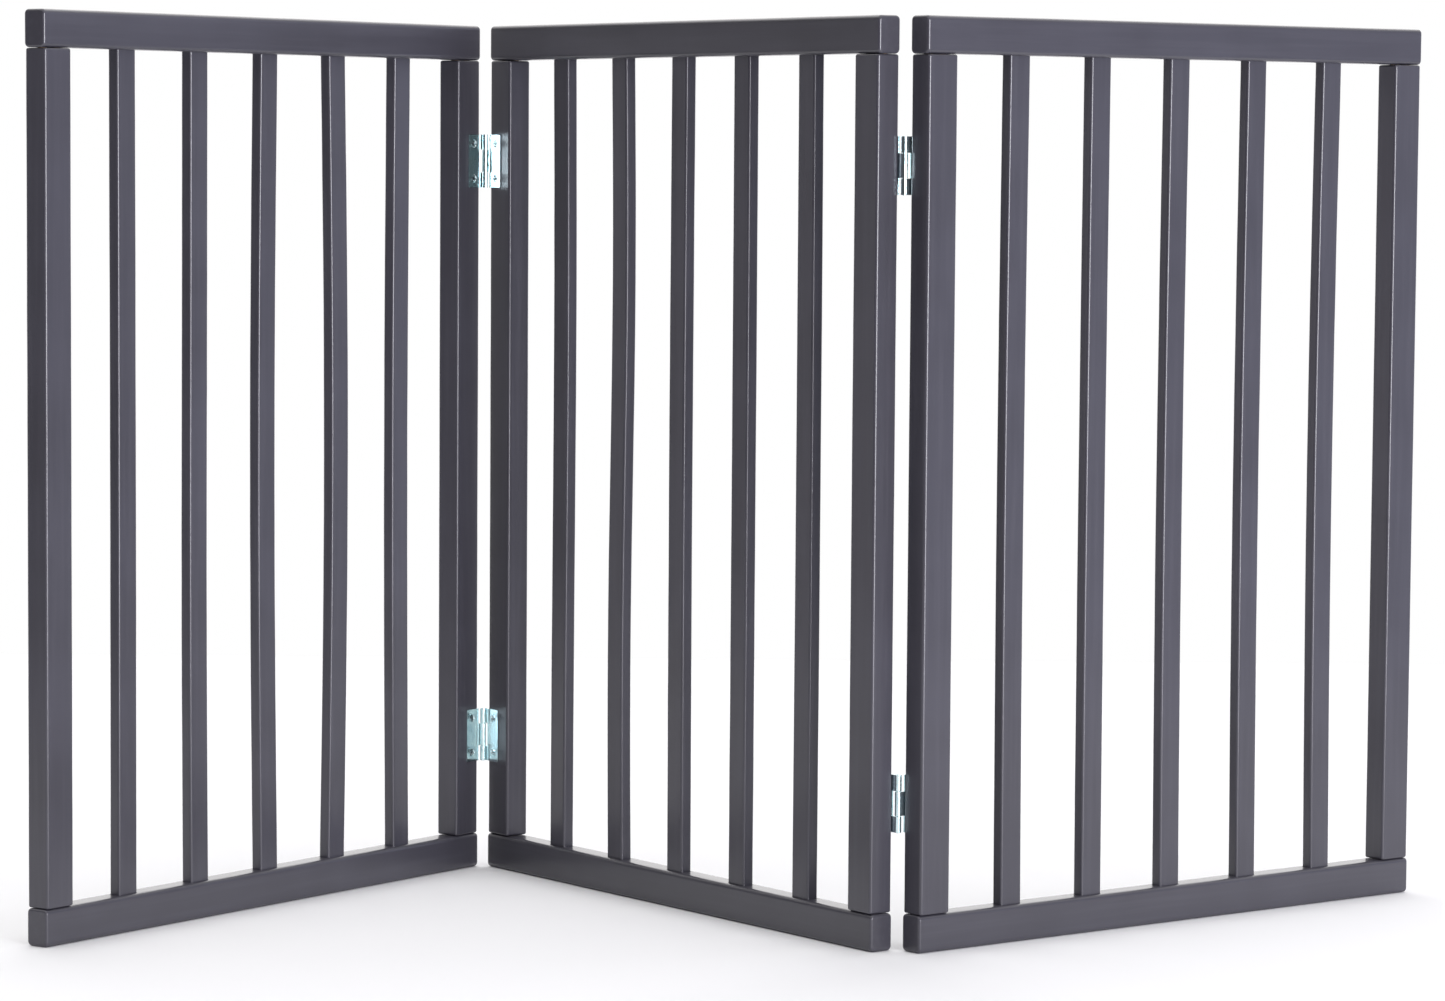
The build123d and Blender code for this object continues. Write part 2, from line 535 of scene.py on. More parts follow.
class NodeSheet:
    """A material's node tree, with short ways to add and link nodes."""

    def __init__(self, name: str) -> None:
        """Start a material.

        Args:
            name: Name of the material.
        """
        self.material = bpy.data.materials.new(name)
        self.material.use_nodes = True
        self.tree = self.material.node_tree
        self.shader = self.tree.nodes["Principled BSDF"]

    def add(self, kind: str, **settings: object) -> bpy.types.Node:
        """Add a node; settings named after an input are set on it.

        Args:
            kind: The node's type name, without its first word.
            settings: Properties of the node, or default values of its inputs.

        Returns:
            The node.
        """
        node = self.tree.nodes.new("ShaderNode" + kind)
        for setting, value in settings.items():
            if hasattr(node, setting):
                setattr(node, setting, value)
            else:
                node.inputs[setting.replace("_", " ")].default_value = value
        return node

    def set_sockets(self, **values: float) -> None:
        """Set values on the shader's own sockets, each named after its socket with _ for a space."""
        for socket, value in values.items():
            self.shader.inputs[socket.replace("_", " ")].default_value = value

    def link(self, source: bpy.types.NodeSocket, target: bpy.types.NodeSocket) -> None:
        """Link one socket to another."""
        self.tree.links.new(source, target)

    def grain_place(self) -> bpy.types.NodeSocket:
        """Place in the piece's own axes, as mark_grain stored it."""
        return self.add("Attribute", attribute_name=GRAIN, attribute_type="GEOMETRY").outputs["Vector"]

    def stretched(self, source: bpy.types.NodeSocket, scale: Sequence[float]) -> bpy.types.NodeSocket:
        """Stretch a place along its axes, for a pattern that runs one way.

        Args:
            source: The place.
            scale: How many of the pattern's cells go into a metre along each axis.

        Returns:
            The stretched place.
        """
        mapping = self.add("Mapping")
        mapping.inputs["Scale"].default_value = scale
        self.link(source, mapping.inputs["Vector"])
        return mapping.outputs["Vector"]

    def noise(
        self, place_at: bpy.types.NodeSocket, scale: float = 1.0, detail: float = 3.0
    ) -> bpy.types.NodeSocket:
        """Lay a cloudy pattern over a place.

        Args:
            place_at: The place.
            scale: How many of its cells go into a unit of the place.
            detail: How many times it repeats at half the size.

        Returns:
            The pattern, from 0 to 1.
        """
        node = self.add("TexNoise", Scale=scale, Detail=detail, Roughness=NOISE_ROUGHNESS)
        self.link(place_at, node.inputs["Vector"])
        return node.outputs["Fac"]

    def spread(
        self, source: bpy.types.NodeSocket, low: float, high: float, start: float = 0.3, end: float = 0.7
    ) -> bpy.types.NodeSocket:
        """Spread a pattern's middle range between two values.

        Args:
            source: The pattern, from 0 to 1.
            low: Value at the start of the range.
            high: Value at its end.
            start: Where the range starts.
            end: Where it ends.

        Returns:
            The spread pattern.
        """
        node = self.add("MapRange")
        for name, value in (("From Min", start), ("From Max", end), ("To Min", low), ("To Max", high)):
            node.inputs[name].default_value = value
        self.link(source, node.inputs["Value"])
        return node.outputs["Result"]

    def blend(
        self,
        share: bpy.types.NodeSocket,
        first: Sequence[float] | bpy.types.NodeSocket,
        second: Sequence[float] | bpy.types.NodeSocket,
    ) -> bpy.types.NodeSocket:
        """Blend two colours by a pattern.

        Args:
            share: Share of the second colour.
            first: First colour or its socket.
            second: Second colour or its socket.

        Returns:
            The blended colour.
        """
        node = self.add("Mix", data_type="RGBA")
        self.link(share, node.inputs[MIX_SHARE])
        for socket, colour in ((node.inputs[MIX_FIRST], first), (node.inputs[MIX_SECOND], second)):
            if isinstance(colour, bpy.types.NodeSocket):
                self.link(colour, socket)
            else:
                socket.default_value = (*colour, 1.0)
        return node.outputs[MIX_RESULT]

    def bump(
        self, height: bpy.types.NodeSocket, relief: Relief, over: bpy.types.NodeSocket | None = None
    ) -> bpy.types.NodeSocket:
        """Raise a pattern off the surface.

        Args:
            height: The pattern.
            relief: How far it is raised.
            over: A bump that this one lies on.

        Returns:
            The bumped normal.
        """
        node = self.add("Bump", Strength=relief.strength, Distance=relief.depth)
        self.link(height, node.inputs["Height"])
        if over is not None:
            self.link(over, node.inputs["Normal"])
        return node.outputs["Normal"]


@dataclass(frozen=True)
class SatinPaint:
    """Dark grey satin paint, sprayed on smooth timber whose grain just shows through.

    The fields that end in cells say how fine a pattern is. wear says how the streaks are spread
    into shares of the worn colour: the two shares, and where they are reached in the pattern.
    """

    name: str = "satin_grey_paint"
    deep: tuple[float, float, float] = (0.038, 0.0365, 0.047)
    light: tuple[float, float, float] = (0.047, 0.0455, 0.059)
    worn: tuple[float, float, float] = (0.066, 0.064, 0.080)
    sheen_low: float = 0.42
    sheen_high: float = 0.52
    specular: float = 0.2
    film: float = 0.80
    film_roughness: float = 0.24
    pore_cells: tuple[float, float, float] = (1600, 1600, 45)
    streak_cells: tuple[float, float, float] = (260, 260, 9)
    cloud_cells: float = 14.0
    spray_cells: float = 900.0
    wear: tuple[float, float, float, float] = (0.0, 0.35, 0.45, 0.75)
    pore_relief: Relief = Relief(0.12, 0.06 * MM)
    streak_relief: Relief = Relief(0.10, 0.25 * MM)
    film_streak_relief: Relief = Relief(0.03, 0.25 * MM)
    spray_relief: Relief = Relief(0.06, 0.03 * MM)

    def make(self) -> bpy.types.Material:
        """Build the paint's material.

        Returns:
            The material.
        """
        sheet = NodeSheet(self.name)
        place_at = sheet.grain_place()
        pores = sheet.noise(sheet.stretched(place_at, self.pore_cells), detail=4.0)
        streaks = sheet.noise(sheet.stretched(place_at, self.streak_cells))
        clouds = sheet.noise(place_at, self.cloud_cells, 2.0)
        spray = sheet.noise(place_at, self.spray_cells, 2.0)
        body = sheet.blend(sheet.spread(clouds, 0.0, 1.0), self.deep, self.light)
        body = sheet.blend(sheet.spread(streaks, *self.wear), body, self.worn)
        sheet.link(body, sheet.shader.inputs["Base Color"])
        sheet.link(sheet.spread(streaks, self.sheen_low, self.sheen_high), sheet.shader.inputs["Roughness"])
        sheet.set_sockets(Coat_Weight=self.film, Coat_Roughness=self.film_roughness)
        sheet.set_sockets(Specular_IOR_Level=self.specular)
        under = sheet.bump(pores, self.pore_relief, sheet.bump(streaks, self.streak_relief))
        sheet.link(under, sheet.shader.inputs["Normal"])
        over = sheet.bump(spray, self.spray_relief, sheet.bump(streaks, self.film_streak_relief))
        sheet.link(over, sheet.shader.inputs["Coat Normal"])
        return sheet.material


@dataclass(frozen=True)
class ZincPlate:
    """Bright zinc plating on rolled or drawn steel, faintly blue, with fine draw lines.

    tinting and warming say how a pattern is spread into shares of the tint and of the warm
    colour: the two shares, and where they are reached in the pattern.
    """

    name: str
    bright: tuple[float, float, float] = (0.72, 0.86, 0.87)
    tint: tuple[float, float, float] = (0.56, 0.74, 0.78)
    warm: tuple[float, float, float] = (0.84, 0.87, 0.82)
    smoothest: float = 0.12
    dullest: float = 0.22
    line_cells: tuple[float, float, float] = (2600.0, 2600.0, 60.0)
    cloud_cells: float = 130.0
    spangle_cells: float = 420.0
    tinting: tuple[float, float, float, float] = (0.0, 1.0, 0.35, 0.65)
    warming: tuple[float, float, float, float] = (0.0, 0.5, 0.55, 0.75)
    line_relief: Relief = Relief(0.10, 0.03 * MM)
    spangle_relief: Relief = Relief(0.10, 0.05 * MM)

    def make(self) -> bpy.types.Material:
        """Build the plating's material.

        Returns:
            The material.
        """
        sheet = NodeSheet(self.name)
        place_at = sheet.grain_place()
        lines = sheet.noise(sheet.stretched(place_at, self.line_cells))
        clouds = sheet.noise(place_at, self.cloud_cells)
        spangle = sheet.noise(place_at, self.spangle_cells, 2.0)
        body = sheet.blend(sheet.spread(clouds, *self.tinting), self.bright, self.tint)
        body = sheet.blend(sheet.spread(spangle, *self.warming), body, self.warm)
        sheet.link(body, sheet.shader.inputs["Base Color"])
        sheet.set_sockets(Metallic=1.0)
        sheet.link(sheet.spread(clouds, self.smoothest, self.dullest), sheet.shader.inputs["Roughness"])
        normal = sheet.bump(spangle, self.spangle_relief, sheet.bump(lines, self.line_relief))
        sheet.link(normal, sheet.shader.inputs["Normal"])
        return sheet.material


@dataclass(frozen=True)
class BareBeech:
    """Bare beech, flecked along its length."""

    name: str = "bare_beech"
    pale: tuple[float, float, float] = (0.66, 0.47, 0.29)
    dark: tuple[float, float, float] = (0.46, 0.29, 0.16)
    fleck_cells: tuple[float, float, float] = (900, 900, 70)
    smoothest: float = 0.55
    dullest: float = 0.7
    fleck_relief: Relief = Relief(0.2, 0.1 * MM)

    def make(self) -> bpy.types.Material:
        """Build the beech's material.

        Returns:
            The material.
        """
        sheet = NodeSheet(self.name)
        place_at = sheet.add("TexCoord").outputs["Object"]
        fleck = sheet.noise(sheet.stretched(place_at, self.fleck_cells), detail=4.0)
        body = sheet.blend(sheet.spread(fleck, 0.0, 1.0), self.pale, self.dark)
        sheet.link(body, sheet.shader.inputs["Base Color"])
        sheet.link(sheet.spread(fleck, self.smoothest, self.dullest), sheet.shader.inputs["Roughness"])
        sheet.link(sheet.bump(fleck, self.fleck_relief), sheet.shader.inputs["Normal"])
        return sheet.material


@dataclass(frozen=True)
class PaleFloor:
    """Matt white floor."""

    name: str = "pale_floor"
    colour: tuple[float, float, float] = (0.85, 0.855, 0.87)
    shade: tuple[float, float, float] = (0.835, 0.84, 0.86)
    cloud_cells: float = 2.0
    roughness: float = 0.9
    specular: float = 0.1

    def make(self) -> bpy.types.Material:
        """Build the floor's material.

        Returns:
            The material.
        """
        sheet = NodeSheet(self.name)
        place_at = sheet.add("TexCoord").outputs["Object"]
        clouds = sheet.noise(place_at, self.cloud_cells, 2.0)
        body = sheet.blend(sheet.spread(clouds, 0.0, 1.0), self.colour, self.shade)
        sheet.link(body, sheet.shader.inputs["Base Color"])
        sheet.set_sockets(Roughness=self.roughness, Specular_IOR_Level=self.specular)
        return sheet.material


def dress(piece: bpy.types.Object, material: bpy.types.Material) -> None:
    """Give a piece one material all over.

    Args:
        piece: The piece.
        material: The material.
    """
    piece.data.materials.clear()
    piece.data.materials.append(material)
    for face in piece.data.polygons:
        face.material_index = 0


# ---- Where the panels stand -------------------------------------------------------------


@dataclass(frozen=True)
class Standing:
    """Where a panel stands: its front left bottom corner and its turn about +Z."""

    name: str
    corner: Vector
    turn: float

    @property
    def body(self) -> str:
        """The body that the panel's pieces ride on."""
        return f"{self.name}_panel"

    @property
    def matrix(self) -> Matrix:
        """From the panel's own axes to the row frame."""
        return Matrix.Translation(self.corner) @ Matrix.Rotation(self.turn, 4, "Z")


def stand_panels() -> dict[str, Standing]:
    """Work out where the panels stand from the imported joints.

    Returns:
        Each panel's standing, by its name.
    """
    joints = {joint["name"]: joint for joint in frame["joints"]}
    pins = {name: Vector((*joint["pos_m"][:2], 0)) for name, joint in joints.items()}
    left_pin, right_pin = pins[Fold.LEFT.value], pins[Fold.RIGHT.value]
    before = -IRON.fold_gap / 2
    after = TIMBER.panel_width + IRON.fold_gap / 2
    front = -IRON.barrel_radius
    back = TIMBER.thickness + IRON.barrel_radius
    across = right_pin - left_pin
    middle_turn = math.atan2(across.y, across.x) - math.atan2(back - front, after - before)
    turns = {
        "left": middle_turn - math.radians(joints[Fold.LEFT.value]["range_deg"][0]),
        "middle": middle_turn,
        "right": middle_turn - math.radians(joints[Fold.RIGHT.value]["range_deg"][0]),
    }
    anchors = {
        "left": (left_pin, Vector((after, front, 0))),
        "middle": (left_pin, Vector((before, front, 0))),
        "right": (right_pin, Vector((before, back, 0))),
    }
    return {
        name: Standing(name, pin - Matrix.Rotation(turns[name], 3, "Z") @ local, turns[name])
        for name, (pin, local) in anchors.items()
    }


# ---- Woodwork ---------------------------------------------------------------------------


@dataclass
class Joinery:
    """Patterns of the wooden pieces, each modelled once and then copied.

    dowel_overshoot is how far the cutter of a dowel hole stands out of the wood, as a share of
    the hole's depth, and station_reach is how near a point lies to a station that it is on.
    """

    timber: Timber = field(default_factory=Timber)
    round_steps: int = 5
    post_end_steps: int = 4
    dowel_sides: int = 20
    dowel_overshoot: float = 0.2
    rail_stations: int = 26
    upright_stations: int = 32
    station_reach: float = 0.2 * MM
    sanding_size: float = 0.045
    sanding_depth: float = 0.22 * MM
    sanding: bpy.types.Texture | None = None

    def _stations(self, bench: Bench, low: float, high: float, count: int, along: Vector) -> None:
        """Cut evenly spaced lines across a piece, so that it can follow a gentle wave."""
        for number in range(1, count):
            bench.cut(along * (low + (high - low) * number / count), along)

    def rail(self) -> bpy.types.Object:
        """Model a rail lying from the origin, rounded all over, with its joints cut in its top.

        Returns:
            The rail as a bottom rail.
        """
        wood = self.timber
        size = Vector((wood.panel_width, wood.thickness, wood.rail_height))
        rail = start_block("rail_pattern", Vector(), size)
        half = size.x / 2
        with Bench(rail) as bench:
            bench.round_edges(lambda a, b: abs(a.x - b.x) > half, wood.rail_edge_round, self.round_steps)
            bench.round_edges(lambda a, b: abs(a.x - b.x) < MM, wood.rail_end_round, self.round_steps)
            inner = wood.rail_end_round * 2
            self._stations(bench, inner, size.x - inner, self.rail_stations, Vector((1, 0, 0)))
        cutters = [self._mortise(centre, size.z) for centre in wood.slat_centres]
        cutters += self._dowel_holes(size.z, -1)
        cut_away(rail, join(cutters))
        return rail

    def _mortise(self, centre: float, top: float) -> bpy.types.Object:
        """Model the cutter of one mortise, a little larger than the slat that it houses.

        Args:
            centre: Middle of the mortise along the rail.
            top: Height of the rail's top.

        Returns:
            The cutter.
        """
        wood = self.timber
        half_width = wood.slat_width / 2 + wood.mortise_play
        half_depth = wood.slat_thickness / 2 + wood.mortise_play
        middle = wood.thickness / 2
        cutter = start_block(
            "mortise",
            Vector((centre - half_width, middle - half_depth, top - wood.tenon - wood.mortise_play)),
            Vector((centre + half_width, middle + half_depth, top + wood.tenon)),
        )
        with Bench(cutter) as bench:
            bench.round_edges(lambda a, b: abs(a.z - b.z) > wood.tenon, wood.slat_round, self.round_steps)
        return cutter

    def _dowel_holes(
        self, face: float, into: int, centres: Iterable[float] | None = None
    ) -> list[bpy.types.Object]:
        """Model the cutters of the dowel holes under one face.

        Args:
            face: Height of the face.
            into: 1 if the wood lies above the face and -1 if below.
            centres: Middle of each post that is dowelled there.

        Returns:
            The cutters.
        """
        wood = self.timber
        reach = Vector((0, 0, into * wood.dowel_reach))
        over = reach * self.dowel_overshoot
        return [
            start_rod(
                "dowel_hole",
                Vector((centre + side * wood.dowel_spacing / 2, wood.thickness / 2, face)) - over,
                reach * (1 + self.dowel_overshoot),
                wood.dowel_radius,
                self.dowel_sides,
            )
            for centre in (centres or wood.post_centres)
            for side in (-1, 1)
        ]

    def post(self) -> bpy.types.Object:
        """Model a post standing on a bottom rail at the panel's left end.

        Returns:
            The post.
        """
        wood = self.timber
        low = Vector((wood.post_setback, 0, wood.rail_height))
        high = low + Vector((wood.post_width, wood.thickness, wood.post_height))
        post = start_block("post_pattern", low, high)
        half = wood.post_height / 2
        with Bench(post) as bench:
            bench.round_edges(lambda a, b: abs(a.z - b.z) > half, wood.post_edge_round, self.round_steps)
            bench.round_edges(lambda a, b: abs(a.z - b.z) < MM, wood.post_end_round, self.post_end_steps)
            inner = wood.post_end_round * 2
            self._stations(bench, low.z + inner, high.z - inner, self.upright_stations, Vector((0, 0, 1)))
        centres = [low.x + wood.post_width / 2]
        cutters = self._dowel_holes(low.z, 1, centres) + self._dowel_holes(high.z, -1, centres)
        cut_away(post, join(cutters))
        return post

    def slat(self) -> bpy.types.Object:
        """Model a straight slat at the origin, with its tenons.

        Returns:
            The slat, centred on x = 0 in the middle of the panel's thickness.
        """
        wood = self.timber
        foot = wood.rail_height - wood.tenon
        head = wood.gate_height - foot
        middle = wood.thickness / 2
        slat = start_block(
            "slat_pattern",
            Vector((-wood.slat_width / 2, middle - wood.slat_thickness / 2, foot)),
            Vector((wood.slat_width / 2, middle + wood.slat_thickness / 2, head)),
        )
        half = wood.post_height / 2
        with Bench(slat) as bench:
            bench.round_edges(lambda a, b: abs(a.z - b.z) > half, wood.slat_round, self.round_steps)
            self._stations(bench, foot, head, self.upright_stations, Vector((0, 0, 1)))
        return slat

    def bend(self, slat: bpy.types.Object, bow: Bow) -> None:
        """Bow a slat between its rails, one station at a time.

        Args:
            slat: A copy of the slat pattern.
            bow: How the slat has moved.
        """
        wood = self.timber
        foot = wood.rail_height - wood.tenon
        length = wood.post_height + 2 * wood.tenon
        with Bench(slat) as bench:
            for number in range(1, self.upright_stations):
                share = number / self.upright_stations
                height = foot + length * share
                free = (height - wood.rail_height) / wood.post_height
                if 0 < free < 1:
                    bench.pick_points(lambda place_at: abs(place_at.z - height) < self.station_reach)
                    bpy.ops.transform.translate(value=(bow.shift(free), 0, 0))

    def sand(self, piece: bpy.types.Object) -> None:
        """Take the machined look off a piece.

        Args:
            piece: The piece, which already stands in the row frame.
        """
        if self.sanding is None:
            self.sanding = bpy.data.textures.new("hand_sanding", "CLOUDS")
            self.sanding.noise_scale = self.sanding_size
            self.sanding.noise_depth = 1
        finish_modifier(
            piece,
            "DISPLACE",
            texture=self.sanding,
            texture_coords="GLOBAL",
            strength=self.sanding_depth,
            mid_level=1.0,
        )


@dataclass
class Panel:
    """One barred panel: two rails, two posts and the slats between them."""

    standing: Standing
    bows: Sequence[Bow]
    joinery: Joinery
    patterns: dict[str, bpy.types.Object]
    paint: bpy.types.Material
    beech: bpy.types.Material
    first_number: int

    def build(self) -> list[bpy.types.Object]:
        """Copy, stand and dress every piece of the panel.

        Returns:
            The pieces.
        """
        wood = self.joinery.timber
        name = self.standing.name
        upside_down = half_turn("X", (0, wood.thickness, wood.gate_height))
        far_end = half_turn("Z", (wood.panel_width, wood.thickness, 0))
        pieces = [
            self._piece(f"{name}_bottom_rail", "rail", GrainRun.ALONG_X, Matrix()),
            self._piece(f"{name}_top_rail", "rail", GrainRun.ALONG_X, upside_down),
            self._piece(f"{name}_left_post", "post", GrainRun.ALONG_Z, Matrix()),
            self._piece(f"{name}_right_post", "post", GrainRun.ALONG_Z, far_end),
        ]
        for number, (centre, bow) in enumerate(zip(wood.slat_centres, self.bows), start=1):
            aside = Matrix.Translation((centre, 0, 0))
            pieces.append(self._piece(f"{name}_slat_{number}", "slat", GrainRun.ALONG_Z, aside, bow))
        dress(frame["nodes"][f"{name}_dowels"], self.beech)
        return pieces

    def _piece(
        self, node: str, pattern: str, run: GrainRun, shift: Matrix, bow: Bow | None = None
    ) -> bpy.types.Object:
        """Make one wooden piece that stands for a CAD node.

        Args:
            node: Name of the node.
            pattern: Name of the pattern to copy.
            run: The axis that the grain follows.
            shift: From the pattern's place to the piece's place in the panel.
            bow: How the piece has moved, for a slat.

        Returns:
            The piece.
        """
        piece = copy_of(self.patterns[pattern], f"painted_{node}")
        self.first_number += 1
        if bow is not None:
            self.joinery.bend(piece, bow)
        mark_grain(piece, run, self.first_number)
        place(piece, self.standing.matrix @ shift)
        self.joinery.sand(piece)
        smooth(piece)
        dress(piece, self.paint)
        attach(piece, self.standing.body)
        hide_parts(node)
        log.info("%s: %d faces", piece.name, len(piece.data.polygons))
        return piece


# ---- Hinges -----------------------------------------------------------------------------


@dataclass
class Smithy:
    """Patterns of the hinge pieces, each modelled once and then copied.

    dome_turns are the places of the points on a pin's domed end, as angles. head_outline gives
    the screw head's dome as shares of its radius and of its rise. thread_end is how far before
    the tip the thread stops, and thread_root and point_width are shares of the shank's radius.
    arm_tapers is how far an arm of the cross recess narrows at its bottom, lengthwise and
    crosswise.
    """

    iron: Ironmongery = field(default_factory=Ironmongery)
    roll_steps: int = 26
    turned_sides: int = 28
    corner_steps: int = 4
    point_reach: float = 0.01 * MM
    leaf_weld: float = 0.002 * MM
    turned_weld: float = 0.004 * MM
    leaf_edge: float = 0.14 * MM
    countersink_play: float = 0.1 * MM
    dome_rise: float = 0.5 * MM
    dome_turns: tuple[float, ...] = (0.0, 0.5, 0.95, 1.3)
    stem_parts: int = 4
    head_sunk: float = 0.5 * MM
    head_rise: float = 0.22 * MM
    head_outline: tuple[tuple[float, float], ...] = ((0.0, 1.0), (0.45, 0.86), (0.8, 0.45), (1.0, 0.0))
    head_rim: float = 0.12 * MM
    plain_shank: float = 2.0 * MM
    thread_start: float = 2.2 * MM
    thread_pitch: float = 1.1 * MM
    thread_end: float = 3.4 * MM
    thread_root: float = 0.68
    point_width: float = 0.45
    point_length: float = 1.4 * MM
    screw_edge: float = 0.05 * MM
    arm_length: float = 1.75 * MM
    arm_width: float = 0.55 * MM
    arm_depth: float = 1.6 * MM
    arm_tapers: tuple[float, float] = (0.3, 0.7)

    def leaf(self, kind: Knuckles) -> bpy.types.Object:
        """Model a stamped leaf with its knuckles rolled round the pin.

        Args:
            kind: The knuckles that the leaf carries.

        Returns:
            The leaf.
        """
        iron = self.iron
        half = iron.height / 2
        middle_y = iron.barrel_radius - iron.leaf_thickness / 2
        inner_end = half - iron.end_knuckle
        inner_half = inner_end - iron.knuckle_gap
        outer = kind is Knuckles.OUTER
        edge_of_own = inner_end if outer else inner_half

        def own(height: float) -> bool:
            """Whether a height is on one of the leaf's own knuckles."""
            return abs(height) > inner_end if outer else abs(height) < inner_half

        bpy.ops.object.select_all(action="DESELECT")
        bpy.ops.mesh.primitive_plane_add(
            size=1, location=(iron.leaf_reach / 2, middle_y, 0), rotation=(math.pi / 2, 0, 0)
        )
        leaf = settle(f"{kind.value}_leaf_pattern", (iron.leaf_reach, iron.height, 1))
        with Bench(leaf) as bench:
            bench.pick_points(lambda place_at: place_at.x > iron.leaf_reach / 2)
            bpy.ops.mesh.bevel(offset=iron.corner_round, segments=self.corner_steps, affect="VERTICES")
            for height in (-edge_of_own, edge_of_own):
                bench.cut(Vector((0, 0, height)), Vector((0, 0, 1)))
            bench.cut(Vector((iron.notch, 0, 0)), Vector((1, 0, 0)))
            bench.pick_faces(lambda middle, normal: middle.x < iron.notch and not own(middle.z))
            bpy.ops.mesh.delete(type="FACE")
            bench.pick_edges(
                lambda a, b: max(abs(a.x), abs(b.x)) < self.point_reach and own((a.z + b.z) / 2)
            )
            bpy.ops.mesh.spin(
                steps=self.roll_steps,
                angle=math.radians(iron.roll_angle),
                center=(0, 0, 0),
                axis=(0, 0, -1),
            )
            bench.weld(self.leaf_weld)
        finish_modifier(leaf, "SOLIDIFY", thickness=iron.leaf_thickness, offset=0.0, use_even_offset=True)
        cut_away(leaf, join([self._countersink(side) for side in (-1, 1)]))
        ease_edges(leaf, self.leaf_edge, 2)
        return leaf

    def _countersink(self, side: int) -> bpy.types.Object:
        """Model the cutter of one countersunk hole.

        Args:
            side: -1 for the lower hole and 1 for the upper one.

        Returns:
            The cutter.
        """
        iron = self.iron
        over = self.countersink_play
        mouth = iron.head_radius + self.countersink_play
        face = iron.barrel_radius - iron.leaf_thickness
        bpy.ops.object.select_all(action="DESELECT")
        bpy.ops.mesh.primitive_cone_add(
            vertices=self.turned_sides,
            radius1=mouth - iron.leaf_thickness - over,
            radius2=mouth + over,
            depth=iron.leaf_thickness + 2 * over,
            location=(iron.screw_reach, face + iron.leaf_thickness / 2, side * iron.screw_spacing / 2),
            rotation=(math.pi / 2, 0, 0),
        )
        return settle("countersink")

    def _turn(
        self, name: str, outline: Sequence[tuple[float, float]], along: Vector, foot: Vector
    ) -> bpy.types.Object:
        """Turn a closed round piece from its outline, as on a lathe.

        Args:
            name: Name of the piece.
            outline: Points as radius and distance along the axis, from the axis to the axis.
            along: Direction of the axis.
            foot: The point on the axis at distance 0.

        Returns:
            The piece.
        """
        out = along.orthogonal().normalized()
        points = [foot + along * distance + out * radius for radius, distance in outline]
        bpy.ops.object.select_all(action="DESELECT")
        bpy.ops.mesh.primitive_plane_add(size=SEED_SIZE, location=points[0])
        piece = settle(name)
        with Bench(piece) as bench:
            bpy.ops.mesh.select_mode(type="VERT")
            bpy.ops.mesh.select_all(action="SELECT")
            bpy.ops.mesh.merge(type="CENTER")
            for last, point in zip(points, points[1:]):
                bpy.ops.mesh.extrude_vertices_move(TRANSFORM_OT_translate={"value": point - last})
            bpy.ops.mesh.select_all(action="SELECT")
            bpy.ops.mesh.spin(steps=self.turned_sides, angle=2 * math.pi, center=foot, axis=along)
            bench.weld(self.turned_weld)
        return piece

    def pin(self) -> bpy.types.Object:
        """Model a pin with softly domed ends.

        Returns:
            The pin, along z.
        """
        half = self.iron.height / 2
        radius = self.iron.pin_radius
        dome = [(radius * math.cos(turn), self.dome_rise * math.sin(turn)) for turn in self.dome_turns]
        upper = [(across, half + rise) for across, rise in dome] + [(0.0, half + self.dome_rise)]
        lower = [(across, -height) for across, height in reversed(upper)]
        parts = self.stem_parts
        stem = [(radius, height * half / parts) for height in range(1 - parts, parts)]
        return self._turn("pin_pattern", lower + stem + upper, Vector((0, 0, 1)), Vector())

    def screw(self) -> bpy.types.Object:
        """Model a countersunk screw with a cross recess and a cut thread.

        Returns:
            The screw, driven along y from the outer face of the leaf.
        """
        iron = self.iron
        sunk, rise = self.head_sunk, self.head_rise
        head, shank, tip = iron.head_radius - sunk, iron.shank_radius, iron.screw_length - sunk
        outline = [(head * across, -rise * height) for across, height in self.head_outline]
        outline += [(head, self.head_rim), (shank, head - shank), (shank, self.plain_shank)]
        root, pitch, thread = shank * self.thread_root, self.thread_pitch, self.thread_start
        while thread < tip - self.thread_end:
            outline += [(root, thread), (shank, thread + pitch / 2), (root, thread + pitch)]
            thread += pitch
        outline += [(shank * self.point_width, tip - self.point_length), (0.0, tip)]
        face = Vector((iron.screw_reach, iron.barrel_radius - iron.leaf_thickness + sunk, 0))
        screw = self._turn("screw_pattern", outline, Vector((0, 1, 0)), face)
        for wide in (True, False):
            cut_away(screw, self._recess(face, rise, wide))
        ease_edges(screw, self.screw_edge, 1)
        return screw

    def _recess(self, face: Vector, rise: float, wide: bool) -> bpy.types.Object:
        """Model one arm of the cross recess's cutter, which tapers inwards.

        Args:
            face: Middle of the screw's head.
            rise: How far the head's dome stands out of the leaf.
            wide: True for the arm along x and False for the arm along z.

        Returns:
            The cutter.
        """
        long, narrow = self.arm_length, self.arm_width
        reach = Vector((long, 0, narrow) if wide else (narrow, 0, long))
        down = Vector((0, 1, 0))
        arm = start_block("recess", face - reach - down * rise * 2, face + reach + down * self.arm_depth)
        with Bench(arm) as bench:
            bench.pick_faces(lambda middle, normal: normal.y > FACING)
            lengthwise, crosswise = self.arm_tapers
            value = (lengthwise, 1, crosswise) if wide else (crosswise, 1, lengthwise)
            bpy.ops.transform.resize(value=value, center_override=face)
        return arm


